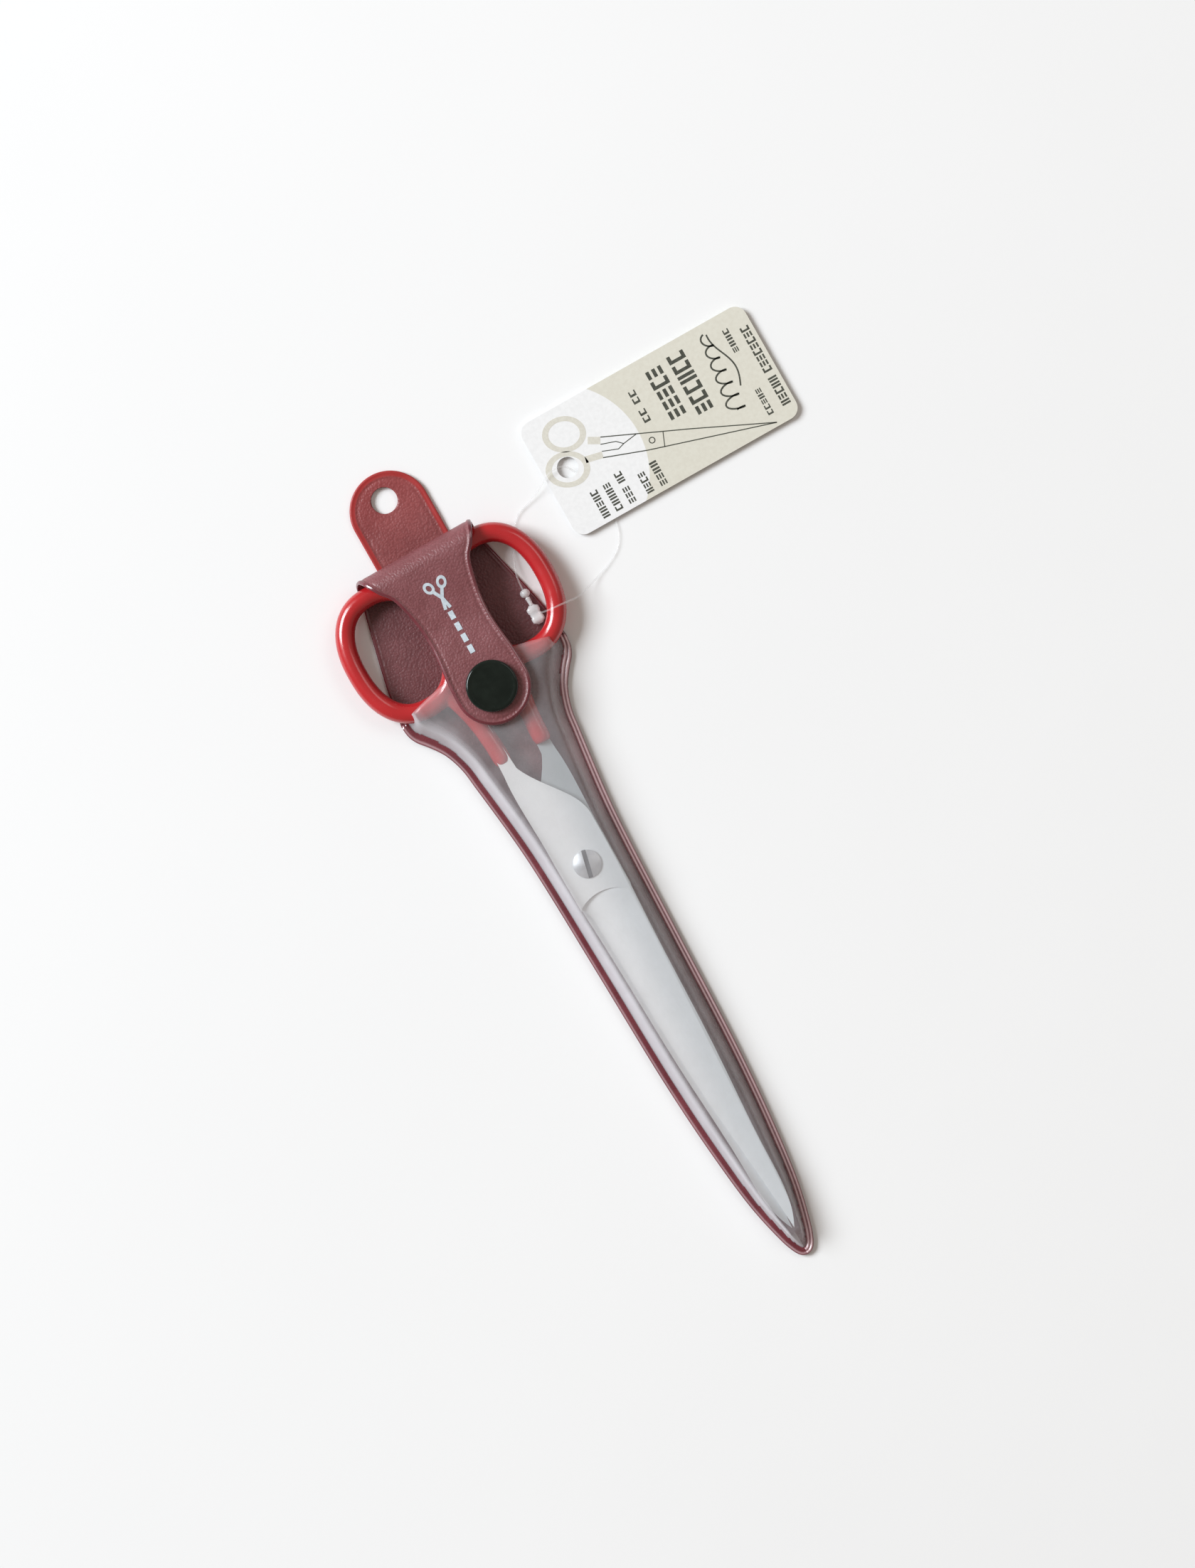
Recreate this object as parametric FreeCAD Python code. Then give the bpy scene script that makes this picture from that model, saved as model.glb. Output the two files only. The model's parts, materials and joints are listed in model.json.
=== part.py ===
import FreeCAD, Part
import math
import os

# Long straight scissors closed inside a soft vinyl sheath with a snap strap, a hang tab
# and a swing tag on a nylon loop. Millimetres, +Z up, the sheath's back on z = 0.
# Outlines are measured from the blades' pivot; place() moves them to the part's frame,
# whose origin is below the middle of the bounding box. +Y points from the tips to the tab.

V = FreeCAD.Vector
UP = V(0, 0, 1)

PIVOT_Y = 0.6

# sheet goods
VINYL = 0.9
CLEAR_VINYL = 0.5
WELD_WIDTH = 2.1
WELD_TOP = 1.5

# steel halves: the rear one lies under the front one
BLADE = 1.75
REAR_BLADE_Z = 2.6
FRONT_BLADE_Z = 4.45
EDGE_THICKNESS = 0.5
SHANK_TOP = 50.0
CORE_RADIUS = 1.5
TANG_RADIUS = 1.35
GRIND_TOP = -8.5

# pivot
PIVOT_RADIUS = 2.0
PIVOT_BORE = 2.05
HEAD_RADIUS = 4.0
HEAD_Z = 6.25
HEAD_TOP = 7.2
SLOT_WIDTH = 1.2
SLOT_DEPTH = 0.45
SLOT_TURN = -13.0
NUT_RADIUS = 3.5
NUT_Z = 1.5
NUT_TOP = 2.55

# finger rings: the centre line of each tube is a squared-off ellipse
RING_X = 16.8
RING_Y = 77.5
RING_HALF_X = 13.1
RING_HALF_Y = 17.7
RING_POWER = 2.3
RING_Z = 4.4
RING_TUBE = 2.85
RING_ROOM = 0.2
NECK_TUBE = 2.65
NECK_PATH = [(-6.3, 35), (-6.5, 42), (-7.6, 51), (-10.4, 61.4)]

# half widths of the sheath along its length, from nose to mouth, and of the back above it
NOSE_Y = -126.0
SHEATH_SIDE = [
    (-124.6, 2.5), (-118, 5.1), (-107, 7.6), (-89, 9.8), (-66, 11.5), (-30, 12.7),
    (2, 13.8), (14, 14.6), (34, 16.9), (40, 17.7), (46, 19.8), (53, 25.0), (59, 26.6),
]
MOUTH_MIDDLE = 64.5
BACK_SHOULDER = (68.6, 25.2)

# height of the clear front panel's crest, top side, along the sheath
CREST = [
    (-130, WELD_TOP), (-122.4, WELD_TOP), (-118.4, 7.05), (-14, 7.05), (-6, 8.1),
    (41, 8.1), (47, 8.4), (70, 8.4),
]
WALL_RUN_SHARE = 0.25
WALL_RUN_MAX = 2.0

# strap: it starts at the back panel, folds forward over the rings and snaps to the front
FOLD_Y = 94.6
FOLD_RADIUS = 5.6
FOLD_WIDE = 19.2
STRAP_X = 1.4
STRAP_WIDE = 15.6
STRAP_SIDE = [(91.4, 12.6), (87.5, 11.3), (80, 9.8), (73.5, 9.4), (67.5, 10.1), (61, 10.8)]
LOBE_BOTTOM = 45.1
STRAP_Z = 2 * FOLD_RADIUS - VINYL

# snap fastener
SNAP_Y = 56.2
CAP_RADIUS = 7.3
CAP_HEIGHT = 1.8
RIVET_RADIUS = 1.0
PANEL_TOP = 8.4

# hang tab
TAB_X = 0.6
TAB_HALF = 11.5
TAB_TOP = 124.8
TAB_THICKNESS = 1.2
TONGUE = 0.45
TONGUE_START = 86.0
TONGUE_END = 97.2
HOLE_Y = 116.8
HOLE_RADIUS = 3.75

# swing tag and its loop
TAG_X = 42.9
TAG_Y = 80.5
TAG_LENGTH = 72.0
TAG_WIDTH = 35.6
TAG_CORNER = 3.5
TAG_Z = 1.0
CARD = 0.4
TAG_HOLE = (50.0, 99.5)
TAG_HOLE_RADIUS = 3.0
LOOP_DIAMETER = 0.55
LOCK_SIZE = (4.0, 5.8, 2.6)
LOCK_CENTRE = (21.9, 68.0, 2.3)
LOCK_CORNER = 1.5
BEAD_CENTRE = (22.1, 74.6, 2.5)
BEAD_RADIUS = 1.45
ARM_RADIUS = 0.5

# the loop's route from the top of the lock, over the ring, through the tag and back
LOOP_ROUTE = [
    (22.8, 67.8, 3.6), (23.3, 67.4, 6.6), (26.3, 66.8, 9.6), (30.2, 66.5, 10.1),
    (33.8, 66.1, 7.2), (36.4, 66.7, 3.2), (41.2, 68.3, 0.6), (47.2, 70.2, 0.4),
    (52.0, 73.4, 0.45), (54.5, 78.6, 0.4), (54.7, 85.0, 0.4), (53.6, 91.2, 0.4),
    (51.5, 97.0, 0.5), (49.3, 100.7, 2.4), (44.9, 100.9, 2.7), (40.4, 98.4, 1.6),
    (36.2, 96.3, 0.6), (31.6, 95.3, 0.5), (28.1, 92.0, 0.5), (25.6, 87.6, 0.6),
    (23.5, 83.2, 1.6), (22.2, 79.2, 2.5), (22.1, 75.8, 2.5),
]

os.makedirs("parts", exist_ok=True)


def place(shape):
    """The shape in the part's frame."""
    return shape.translated(V(0, PIVOT_Y, 0))


def export(name, shape):
    if not shape.isValid():
        shape.fix(0.001, 0.001, 0.01)
    solid = shape.removeSplitter() if len(shape.Solids) == 1 else shape
    if not solid.isValid():
        print(name, "is not a valid solid")
    print(f"{name}: {len(solid.Solids)} solid, {solid.Volume:.1f} mm3")
    place(solid).exportStep(f"parts/{name}.step")


def between(table, y):
    """The value at y of a table of (y, value), with straight lines between its rows."""
    for (y0, v0), (y1, v1) in zip(table, table[1:]):
        if y <= y1:
            return v0 + (v1 - v0) * max(0.0, y - y0) / (y1 - y0)
    return table[-1][1]


def spline(points):
    curve = Part.BSplineCurve()
    curve.interpolate([V(*p) for p in points])
    return curve.toShape()


def line(a, b):
    return Part.makeLine(V(*a), V(*b))


def arc(a, middle, b):
    return Part.Arc(V(*a), V(*middle), V(*b)).toShape()


def slab(edges, low, height):
    """A flat solid over a closed outline drawn at z = 0."""
    wire = Part.Wire(Part.__sortEdges__(edges))
    return Part.Face(wire).extrude(V(0, 0, height)).translated(V(0, 0, low))


def disc(radius, low, height, x=0.0, y=0.0):
    return Part.makeCylinder(radius, height, V(x, y, low))


def mirrored(shape):
    return shape.mirror(V(0, 0, 0), V(1, 0, 0))


# ---- sheath ----

def sheath_side_edges():
    """The rounded side of the sheath from one mouth corner round the nose to the other."""
    right = [(w, y, 0) for y, w in SHEATH_SIDE]
    left = [(-w, y, 0) for y, w in reversed(SHEATH_SIDE)]
    return spline(left + [(0, NOSE_Y, 0)] + right)


def back_panel(tab):
    corner_y, corner_half = SHEATH_SIDE[-1]
    shoulder_y, shoulder_half = BACK_SHOULDER
    edges = [sheath_side_edges()]
    for side in (-1, 1):
        corner = (side * corner_half, corner_y, 0)
        shoulder = (side * shoulder_half, shoulder_y, 0)
        edges.append(line(corner, shoulder))
        edges.append(line(shoulder, (side * FOLD_WIDE, FOLD_Y, 0)))
    edges.append(line((-FOLD_WIDE, FOLD_Y, 0), (FOLD_WIDE, FOLD_Y, 0)))
    return slab(edges, 0, VINYL).cut(tab)


def pocket_section(y, shrink):
    """A closed cross-section of the front panel's bulge, shrunk by the vinyl's thickness."""
    half = between([(NOSE_Y, 0.4)] + SHEATH_SIDE, y)
    foot = max(0.3, half - WELD_WIDTH)
    run = min(WALL_RUN_MAX, WALL_RUN_SHARE * foot)
    top = between(CREST, y)
    rise = top - WELD_TOP
    wall = [(0, 0), (0.2, 0.3), (0.5, 0.75), (1, 1)]
    right = [(max(0.05, foot - run * u - shrink), WELD_TOP + rise * v - shrink) for u, v in wall]
    base = VINYL - shrink
    outside = [] if shrink else [(half + 2, WELD_TOP), (half + 2, base)]
    if shrink:
        outside = [(right[0][0], base)]
    left = [(-x, z) for x, z in reversed(outside[::-1] + right)]
    points = [V(x, y, z) for x, z in outside[::-1] + right + left]
    return Part.makePolygon(points + [points[0]])


def pocket_bulge(shrink):
    stations = sorted({y for y, _ in CREST[1:-1]} | {y for y, _ in SHEATH_SIDE[1:]} | {NOSE_Y - 1, 67})
    if shrink:
        stations = [y for y in stations if y > -122]
    return Part.makeLoft([pocket_section(y, shrink) for y in stations], True, True)


def mouth_arc():
    y, half = SHEATH_SIDE[-1]
    return arc((-half, y, 0), (0, MOUTH_MIDDLE, 0), (half, y, 0))


def ring_room():
    """The space of both rings, where they push the soft walls of the mouth apart."""
    outline = Part.Wire(ring_line(RING_TUBE + RING_ROOM).toShape())
    height = RING_Z + RING_TUBE + RING_ROOM - WELD_TOP
    left = Part.Face(outline).extrude(V(0, 0, height)).translated(V(0, 0, WELD_TOP - RING_Z))
    return left.fuse(mirrored(left))


def front_panel():
    shell = pocket_bulge(0).cut(pocket_bulge(CLEAR_VINYL))
    outline = slab([sheath_side_edges(), mouth_arc()], 0, 2 * FOLD_RADIUS)
    hole = disc(RIVET_RADIUS, 0, 2 * FOLD_RADIUS, STRAP_X, SNAP_Y)
    return shell.common(outline).cut([hole, ring_room()])


def hang_tab():
    low = TONGUE_START
    shoulder = TAB_TOP - TAB_HALF
    left, right = TAB_X - TAB_HALF, TAB_X + TAB_HALF
    outline = [
        line((left, low, 0), (right, low, 0)),
        line((right, low, 0), (right, shoulder, 0)),
        arc((right, shoulder, 0), (TAB_X, TAB_TOP, 0), (left, shoulder, 0)),
        line((left, shoulder, 0), (left, low, 0)),
    ]
    body = slab(outline, 0, TAB_THICKNESS)
    above_tongue = Part.makeBox(80, TONGUE_END - low, TAB_THICKNESS, V(-40, low, TONGUE))
    return body.cut(above_tongue).cut(disc(HOLE_RADIUS, -1, 4, TAB_X, HOLE_Y))


# ---- strap and snap ----

def strap_flap():
    right = [(STRAP_X + STRAP_WIDE, FOLD_Y, 0)] + [(STRAP_X + w, y, 0) for y, w in STRAP_SIDE]
    left = [(2 * STRAP_X - x, y, z) for x, y, z in right]
    edges = [
        spline(right),
        spline(left),
        arc(right[-1], (STRAP_X, LOBE_BOTTOM, 0), left[-1]),
        line(right[0], left[0]),
    ]
    return slab(edges, STRAP_Z, VINYL).cut(disc(RIVET_RADIUS, 0, 20, STRAP_X, SNAP_Y))


def strap_fold(tab):
    """Half a tube of vinyl that joins the back panel to the flap."""
    width = 2 * FOLD_WIDE
    start = V(-FOLD_WIDE, FOLD_Y, FOLD_RADIUS)
    outer = Part.makeCylinder(FOLD_RADIUS, width, start, V(1, 0, 0))
    inner = Part.makeCylinder(FOLD_RADIUS - VINYL, width, start, V(1, 0, 0))
    behind = Part.makeBox(width, FOLD_RADIUS, 2 * FOLD_RADIUS, V(-FOLD_WIDE, FOLD_Y, 0))
    top_left = STRAP_X - STRAP_WIDE
    top_right = STRAP_X + STRAP_WIDE
    high = 2 * FOLD_RADIUS
    corners = [
        V(-FOLD_WIDE, 0, 0), V(FOLD_WIDE, 0, 0), V(top_right, 0, high), V(top_left, 0, high),
        V(-FOLD_WIDE, 0, 0),
    ]
    taper = Part.Face(Part.makePolygon(corners)).extrude(V(0, 2 * TAB_TOP, 0))
    return outer.cut(inner).common(behind).common(taper).cut(tab)


def turned(profile, x=STRAP_X, y=SNAP_Y):
    """A solid of revolution from (radius, z) corners."""
    points = [V(r, 0, z) for r, z in profile]
    face = Part.Face(Part.makePolygon(points + [points[0]]))
    return face.revolve(V(0, 0, 0), UP, 360).translated(V(x, y, 0))


def snap_cap():
    low = STRAP_Z + VINYL
    top = low + CAP_HEIGHT
    rivet_end = STRAP_Z - 0.9
    profile = [
        (0, rivet_end), (RIVET_RADIUS, rivet_end), (RIVET_RADIUS, low), (CAP_RADIUS, low),
        (CAP_RADIUS, low + 0.7), (CAP_RADIUS - 0.5, top - 0.15), (CAP_RADIUS - 1.0, top),
        (CAP_RADIUS - 1.5, top - 0.15), (0, top - 0.15),
    ]
    return turned(profile)


def snap_socket():
    top = STRAP_Z
    low = PANEL_TOP + 0.35
    profile = [
        (RIVET_RADIUS, top - 0.9), (2.35, top - 0.9), (2.35, low), (5.2, low), (5.2, low + 0.5),
        (4.2, top), (RIVET_RADIUS, top),
    ]
    return turned(profile)


def snap_stud():
    low = PANEL_TOP
    top = low + 0.95
    profile = [
        (RIVET_RADIUS, low), (4.6, low), (4.6, low + 0.3), (1.9, low + 0.3), (2.05, top - 0.25),
        (1.8, top), (RIVET_RADIUS, top),
    ]
    return turned(profile)


def snap_post():
    under_panel = PANEL_TOP - CLEAR_VINYL
    low = under_panel - 0.4
    top = PANEL_TOP + 0.95
    profile = [
        (0, low), (4.0, low), (4.0, under_panel), (RIVET_RADIUS, under_panel),
        (RIVET_RADIUS, top), (0, top),
    ]
    return turned(profile)


# ---- scissors: both halves are drawn as the front one, whose ring is on the left ----

def blade_outline():
    tip = (0.3, -117.1, 0)
    heel = (-6.1, -14.8, 0)
    back = [(7.9, -9.0, 0), (6.8, -32, 0), (5.7, -63.3, 0), (3.9, -95, 0), (2.2, -112.4, 0), tip]
    shoulder = [(-4.0, 33.0, 0), (-0.5, 27, 0), (3.5, 21.7, 0), (6.9, 16.2, 0), (7.9, 10.5, 0)]
    return [
        spline([heel, (-5.3, -37.7, 0), (-3.8, -69.7, 0), (-1.5, -95, 0), tip]),
        arc(heel, (-6.9, -12.2, 0), (-8.0, -10.8, 0)),
        line((-8.0, -10.8, 0), (-8.2, 5.0, 0)),
        spline([(-8.2, 5.0, 0), (-8.3, 14.4, 0), (-8.6, 24, 0), (-8.2, 33.0, 0)]),
        line((-8.2, 33.0, 0), (-7.6, SHANK_TOP, 0)),
        line((-7.6, SHANK_TOP, 0), (-5.2, SHANK_TOP, 0)),
        line((-5.2, SHANK_TOP, 0), (-4.0, 33.0, 0)),
        spline(shoulder),
        line((7.9, 10.5, 0), (7.9, -9.0, 0)),
        spline(back),
    ]


def grind_tool():
    """The wedge that hollow grinding takes off the outer face, thickest at the edge."""
    depth = BLADE - EDGE_THICKNESS
    high = 5.0
    stations = [(GRIND_TOP, -7.5, 6.6), (-32, -6.5, 6.9), (-70, -4.7, 5.7), (-119, -0.6, 2.4)]
    wires = []
    for y, edge_x, spine_x in stations:
        corners = [
            V(edge_x - 3, y, BLADE - depth * 1.15), V(spine_x, y, BLADE), V(spine_x, y, high),
            V(edge_x - 3, y, high),
        ]
        wires.append(Part.makePolygon(corners + [corners[0]]))
    wedge = Part.makeLoft(wires, True, True)
    top_arc = [
        arc((-12, GRIND_TOP - 7, 0), (-1, GRIND_TOP, 0), (10, GRIND_TOP - 9, 0)),
        line((10, GRIND_TOP - 9, 0), (10, -121, 0)),
        line((10, -121, 0), (-12, -121, 0)),
        line((-12, -121, 0), (-12, GRIND_TOP - 7, 0)),
    ]
    return wedge.common(slab(top_arc, -1, 2 * high))


def ring_line(grow=0.0):
    """The closed centre line of a ring, or a line that runs this far outside it."""
    points = []
    steps = 28
    for i in range(steps):
        turn = 2 * math.pi * i / steps
        c, s = math.cos(turn), math.sin(turn)
        x = (RING_HALF_X + grow) * math.copysign(abs(c) ** (2 / RING_POWER), c)
        y = (RING_HALF_Y + grow) * math.copysign(abs(s) ** (2 / RING_POWER), s)
        points.append(V(x - RING_X, y + RING_Y, RING_Z))
    curve = Part.BSplineCurve()
    curve.interpolate(points, PeriodicFlag=True)
    return curve


def ring_tube(radius):
    """A ring swept in two halves, whose end faces meet."""
    curve = ring_line()
    first, last = curve.FirstParameter, curve.LastParameter
    half_way = (first + last) / 2
    halves = []
    for begin, end in ((first, half_way), (half_way, last)):
        profile = Part.makeCircle(radius, curve.value(begin), curve.tangent(begin)[0])
        path = Part.Wire(curve.toShape(begin, end))
        halves.append(path.makePipeShell([Part.Wire(profile)], True, False))
    return halves[0].fuse(halves[1])


def neck(radius, route):
    """The bar along the route, from the collar's end to inside the ring."""
    path = spline([(x, y, RING_Z) for x, y in route])
    start = path.Curve.value(path.FirstParameter)
    along = path.Curve.tangent(path.FirstParameter)[0]
    profile = Part.Wire(Part.makeCircle(radius, start, along))
    tube = Part.Wire(path).makePipeShell([profile], True, False)
    inside_ring = path.Curve.value(path.LastParameter)
    return tube.fuse(Part.makeSphere(radius, inside_ring))


def steel_half(low):
    plate = slab(blade_outline(), 0, BLADE).cut(grind_tool())
    plate = plate.cut(disc(PIVOT_BORE, -1, 5)).translated(V(0, 0, low))
    return plate.fuse([ring_tube(CORE_RADIUS), neck(TANG_RADIUS, NECK_PATH[1:])])


def front_blade():
    return steel_half(FRONT_BLADE_Z)


def rear_blade():
    """The same steel half turned over, so that the ground faces look outwards."""
    flipped = steel_half(FRONT_BLADE_Z).rotated(V(0, 0, 0), V(0, 1, 0), 180)
    return flipped.translated(V(0, 0, 2 * RING_Z))


def grip_coat(steel, side):
    coat = ring_tube(RING_TUBE).fuse(neck(NECK_TUBE, NECK_PATH))
    if side > 0:
        coat = mirrored(coat)
    return coat.cut(steel)


def pivot_screw():
    shaft = disc(PIVOT_RADIUS, NUT_Z, HEAD_Z - NUT_Z)
    edge = HEAD_Z + 0.35
    ball_radius = (HEAD_RADIUS**2 + (HEAD_TOP - edge) ** 2) / (2 * (HEAD_TOP - edge))
    ball = Part.makeSphere(ball_radius, V(0, 0, HEAD_TOP - ball_radius))
    head = disc(HEAD_RADIUS, HEAD_Z, HEAD_TOP - HEAD_Z).common(ball)
    slot = Part.makeBox(SLOT_WIDTH, 10, 2, V(-SLOT_WIDTH / 2, -5, HEAD_TOP - SLOT_DEPTH))
    slot = slot.rotated(V(0, 0, 0), UP, SLOT_TURN)
    return shaft.fuse(head).cut(slot)


def pivot_nut():
    return disc(NUT_RADIUS, NUT_Z, NUT_TOP - NUT_Z).cut(disc(PIVOT_RADIUS, 0, 5))


# ---- swing tag and loop ----

def swing_tag():
    card = Part.makeBox(TAG_LENGTH, TAG_WIDTH, CARD, V(TAG_X, TAG_Y, TAG_Z))
    upright = [e for e in card.Edges if abs(e.tangentAt(e.FirstParameter).z) > 0.9]
    card = card.makeFillet(TAG_CORNER, upright)
    return card.cut(disc(TAG_HOLE_RADIUS, 0, 5, *TAG_HOLE))


def loop_path():
    """Straight runs joined by tangent arcs, each as large as its two runs allow."""
    points = [V(*p) for p in LOOP_ROUTE]
    edges = []
    radii = []
    start = points[0]
    for before, corner, after in zip(points, points[1:], points[2:]):
        to_corner = (corner - before).normalize()
        onward = (after - corner).normalize()
        reach = 0.45 * min((corner - before).Length, (after - corner).Length)
        turn = to_corner.getAngle(onward)
        radii.append(reach / math.tan(turn / 2))
        arc_start = corner - to_corner * reach
        arc_end = corner + onward * reach
        sideways = (onward - to_corner).normalize()
        middle_reach = radii[-1] * (1 / math.cos(turn / 2) - 1)
        edges.append(Part.LineSegment(start, arc_start).toShape())
        edges.append(Part.Arc(arc_start, corner + sideways * middle_reach, arc_end).toShape())
        start = arc_end
    edges.append(Part.LineSegment(start, points[-1]).toShape())
    print("loop radii, mm:", [round(r, 1) for r in radii])
    return Part.Wire(edges)


def tag_loop():
    path = loop_path()
    radius = LOOP_DIAMETER / 2
    along = V(*LOOP_ROUTE[1]) - V(*LOOP_ROUTE[0])
    profile = Part.Wire(Part.makeCircle(radius, V(*LOOP_ROUTE[0]), along))
    tube = path.makePipeShell([profile], True, False)
    ideal = math.pi * radius**2 * path.Length
    print(f"loop length {path.Length:.1f} mm, volume {tube.Volume:.2f} against {ideal:.2f} mm3")
    return tube


def loop_bead():
    """The bead with its tapered arm, which is pushed into the lock."""
    centre = V(*BEAD_CENTRE)
    ball = Part.makeSphere(BEAD_RADIUS, centre)
    lock_top = LOCK_CENTRE[1] + LOCK_SIZE[1] / 2
    arm = Part.makeCone(0.9 * BEAD_RADIUS, ARM_RADIUS, centre.y - lock_top, centre, V(0, -1, 0))
    loop_end = LOOP_ROUTE[-1][1]
    corner = V(centre.x - BEAD_RADIUS, loop_end, centre.z - BEAD_RADIUS)
    past_loop = Part.makeBox(2 * BEAD_RADIUS, BEAD_RADIUS, 2 * BEAD_RADIUS, corner)
    return ball.fuse(arm).cut(past_loop)


def loop_lock(loop):
    size = V(*LOCK_SIZE)
    box = Part.makeBox(size.x, size.y, size.z, V(*LOCK_CENTRE) - size * 0.5)
    upright = [e for e in box.Edges if abs(e.tangentAt(e.FirstParameter).z) > 0.9]
    box = box.makeFillet(LOCK_CORNER, upright)
    return box.cut(loop)


tab = hang_tab()
export("sheath_back_panel", back_panel(tab))
export("hang_tab", tab)
export("sheath_front_panel", front_panel())
export("strap_flap", strap_flap())
export("strap_fold", strap_fold(tab))
export("snap_cap", snap_cap())
export("snap_socket", snap_socket())
export("snap_stud", snap_stud())
export("snap_post", snap_post())

front = front_blade()
rear = rear_blade()
export("front_blade", front)
export("rear_blade", rear)
export("front_grip", grip_coat(front, -1))
export("rear_grip", grip_coat(rear, 1))
export("pivot_screw", pivot_screw())
export("pivot_nut", pivot_nut())

loop = tag_loop()
export("tag_loop", loop)
export("loop_lock", loop_lock(loop))
export("loop_bead", loop_bead())
export("swing_tag", swing_tag())
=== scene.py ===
import json
import math

import bmesh
import bpy
import numpy as np
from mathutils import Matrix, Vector


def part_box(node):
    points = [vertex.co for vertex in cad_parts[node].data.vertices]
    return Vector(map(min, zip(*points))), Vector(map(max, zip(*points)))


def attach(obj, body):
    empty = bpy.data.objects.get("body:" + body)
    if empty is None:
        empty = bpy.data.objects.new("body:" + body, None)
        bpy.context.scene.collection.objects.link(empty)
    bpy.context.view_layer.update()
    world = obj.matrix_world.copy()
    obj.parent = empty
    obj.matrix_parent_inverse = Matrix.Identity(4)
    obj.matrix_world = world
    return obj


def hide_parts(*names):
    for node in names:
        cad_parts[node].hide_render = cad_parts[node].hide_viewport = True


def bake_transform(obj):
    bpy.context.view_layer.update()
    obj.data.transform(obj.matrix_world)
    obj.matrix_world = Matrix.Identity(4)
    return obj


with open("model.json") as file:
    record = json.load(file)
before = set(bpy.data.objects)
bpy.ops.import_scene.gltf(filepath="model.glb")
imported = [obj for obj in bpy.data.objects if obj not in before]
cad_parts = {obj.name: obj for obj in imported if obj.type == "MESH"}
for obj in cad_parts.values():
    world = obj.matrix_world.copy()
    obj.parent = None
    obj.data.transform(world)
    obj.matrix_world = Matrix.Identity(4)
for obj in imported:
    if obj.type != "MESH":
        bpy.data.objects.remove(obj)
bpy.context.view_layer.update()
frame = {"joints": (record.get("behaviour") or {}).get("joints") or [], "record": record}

# Long scissors closed in a soft vinyl sheath, with a snap strap, a hang tab and a swing tag.
# Everything is in metres in the part's own frame: +Y from the blade tips to the hang tab.
MM = 0.001
JOINTS = {j["name"]: j for j in frame["joints"]}
PIVOT = Vector(JOINTS["front_blade_open"]["pos_m"])
FOLD_AXIS = Vector(JOINTS["strap_open"]["pos_m"])
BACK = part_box("sheath_back_panel")
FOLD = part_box("strap_fold")
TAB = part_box("hang_tab")
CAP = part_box("snap_cap")
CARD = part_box("swing_tag")
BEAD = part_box("loop_bead")

PIVOT_Y = PIVOT.y
VINYL = BACK[1].z - BACK[0].z


def at(x, y, z=0.0):
    """A point from millimetres measured from the pivot, with z from the floor."""
    return Vector((x * MM, y * MM + PIVOT_Y, z * MM))


# ---- camera ----

LENS = 85.0
SENSOR = 36.0
VIEW_HEIGHT = 0.441          # how much of the table the picture takes in
ROLL = math.radians(29.51)
VIEW_CENTRE = at(13.5, 18.0)

camera_data = bpy.data.cameras.new("camera")
camera_data.lens = LENS
camera_data.sensor_fit = "VERTICAL"
camera_data.sensor_height = SENSOR
camera_data.clip_start = 0.01
camera = bpy.data.objects.new("camera", camera_data)
camera.location = VIEW_CENTRE + Vector((0, 0, VIEW_HEIGHT * LENS / SENSOR))
camera.rotation_euler = (0, 0, -ROLL)
bpy.context.collection.objects.link(camera)
bpy.context.scene.camera = camera


# ---- material tools ----

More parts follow.
